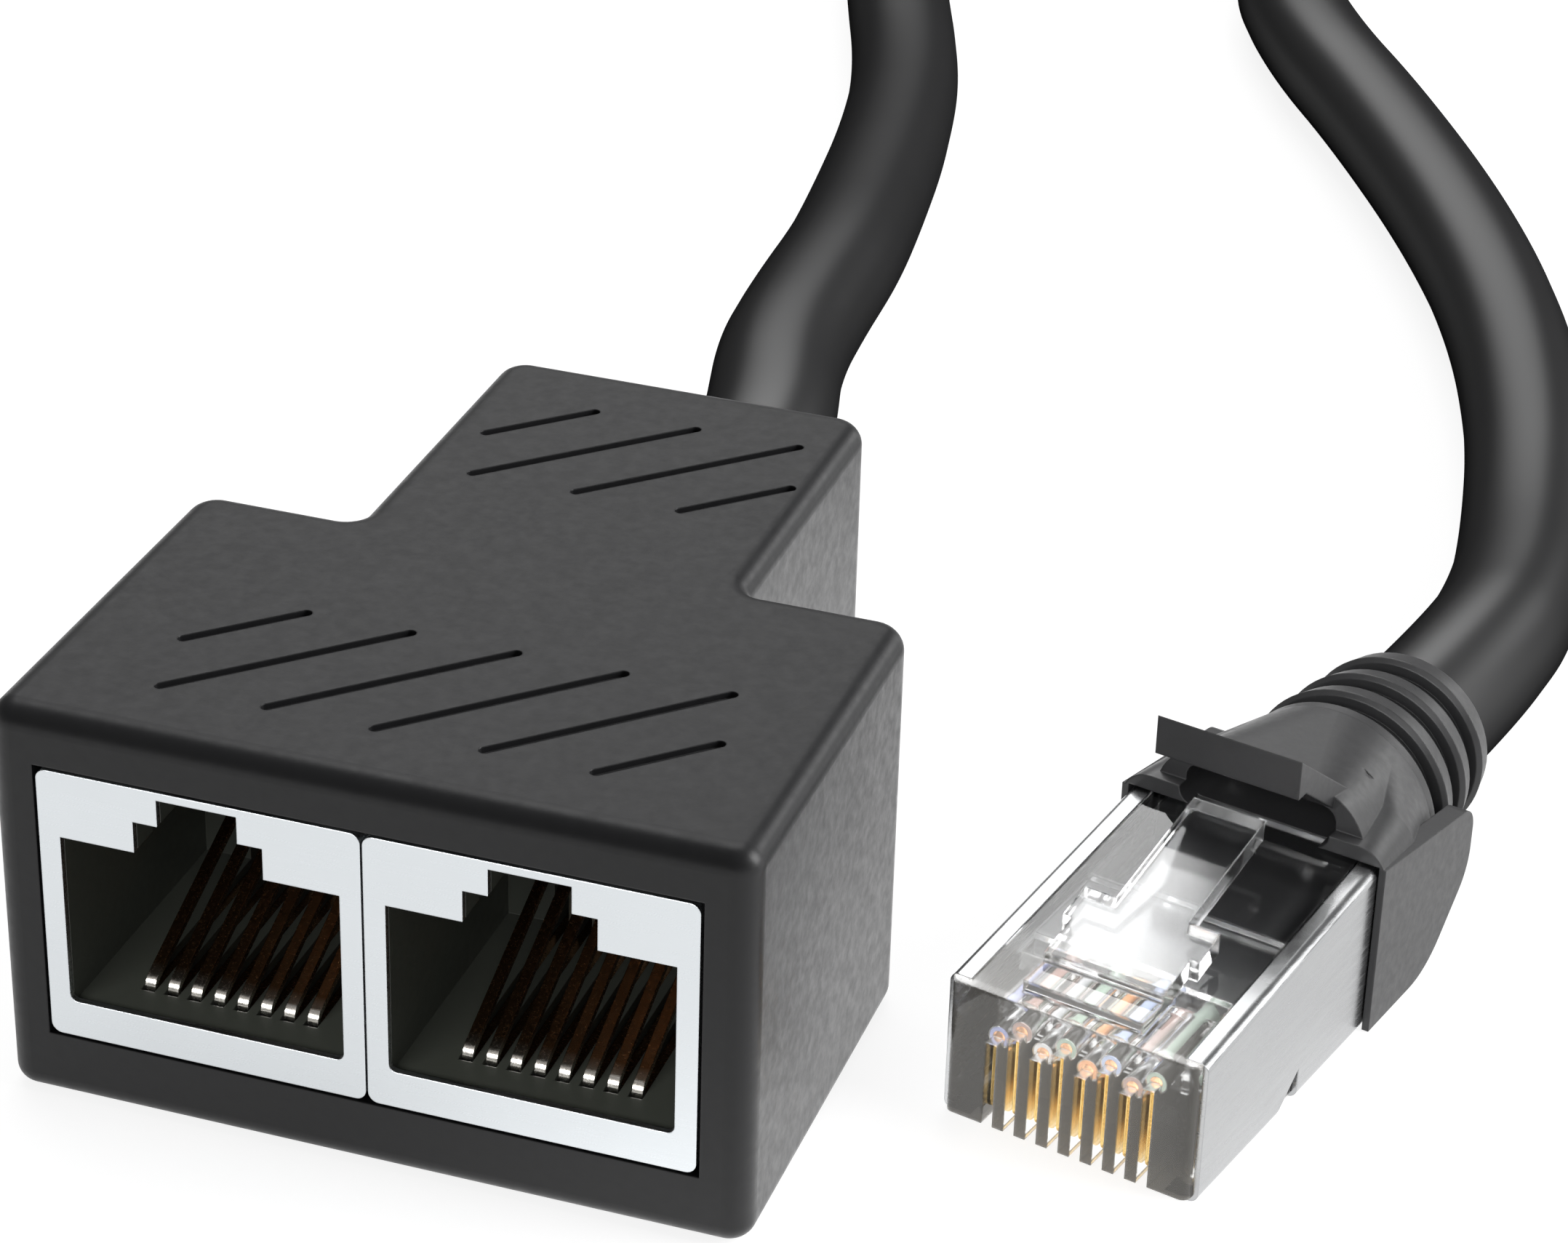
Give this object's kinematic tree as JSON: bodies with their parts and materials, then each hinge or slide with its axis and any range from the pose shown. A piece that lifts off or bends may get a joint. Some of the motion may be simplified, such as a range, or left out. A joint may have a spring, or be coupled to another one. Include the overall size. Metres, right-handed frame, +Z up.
{
  "type": "network splitter adapter",
  "caption": "T-shaped network splitter housing with side-by-side shielded jacks, joined by a short round cable to a clear-nosed shielded plug with a ribbed boot.",
  "frame": {"origin": "middle of the housing's underside, on the surface that the adapter stands on", "axes": "+Z is up, -Y is out of the jacks, +Y is the way the cable leaves the neck"},
  "size_m": [0.0788, 0.245, 0.018],
  "materials": {
    "charcoal_plastic": "satin",
    "black_plastic": "satin",
    "satin_nickel": "satin",
    "gold_plate": "polished",
    "board_green": "satin",
    "black_cable": "matte",
    "black_boot": "matte",
    "clear_plastic": "gloss",
    "wire_blue": "satin",
    "wire_brown": "satin",
    "wire_green": "satin",
    "wire_orange": "satin",
    "wire_white": "satin"
  },
  "bodies": {
    "root": {"housing": "charcoal_plastic", "base_cover": "charcoal_plastic", "circuit_board": "board_green", "strain_relief": "black_boot", "cable_inner_end": "black_cable", "cable_clamp": "satin_nickel", "cable": "black_cable", "wire_pair_1": "wire_blue", "wire_pair_2": "wire_orange", "wire_pair_3": "wire_green", "wire_pair_4": "wire_brown", "plug_body": "clear_plastic", "plug_shield": "satin_nickel", "plug_load_bar": "black_plastic", "plug_cable_end": "black_cable", "plug_boot": "black_boot", "port_1_shield": "satin_nickel", "port_1_insert": "black_plastic", "port_1_contact_1": "gold_plate", "port_1_contact_2": "gold_plate", "port_1_contact_3": "gold_plate", "port_1_contact_4": "gold_plate", "port_1_contact_5": "gold_plate", "port_1_contact_6": "gold_plate", "port_1_contact_7": "gold_plate", "port_1_contact_8": "gold_plate", "port_2_shield": "satin_nickel", "port_2_insert": "black_plastic", "port_2_contact_1": "gold_plate", "port_2_contact_2": "gold_plate", "port_2_contact_3": "gold_plate", "port_2_contact_4": "gold_plate", "port_2_contact_5": "gold_plate", "port_2_contact_6": "gold_plate", "port_2_contact_7": "gold_plate", "port_2_contact_8": "gold_plate", "plug_contact_1": "gold_plate", "plug_wire_1": "wire_blue", "plug_contact_2": "gold_plate", "plug_wire_2": "wire_brown", "plug_contact_3": "gold_plate", "plug_wire_3": "wire_white", "plug_contact_4": "gold_plate", "plug_wire_4": "wire_green", "plug_contact_5": "gold_plate", "plug_wire_5": "wire_orange", "plug_contact_6": "gold_plate", "plug_wire_6": "wire_blue", "plug_contact_7": "gold_plate", "plug_wire_7": "wire_brown", "plug_contact_8": "gold_plate", "plug_wire_8": "wire_green"}
  },
  "joints": []
}
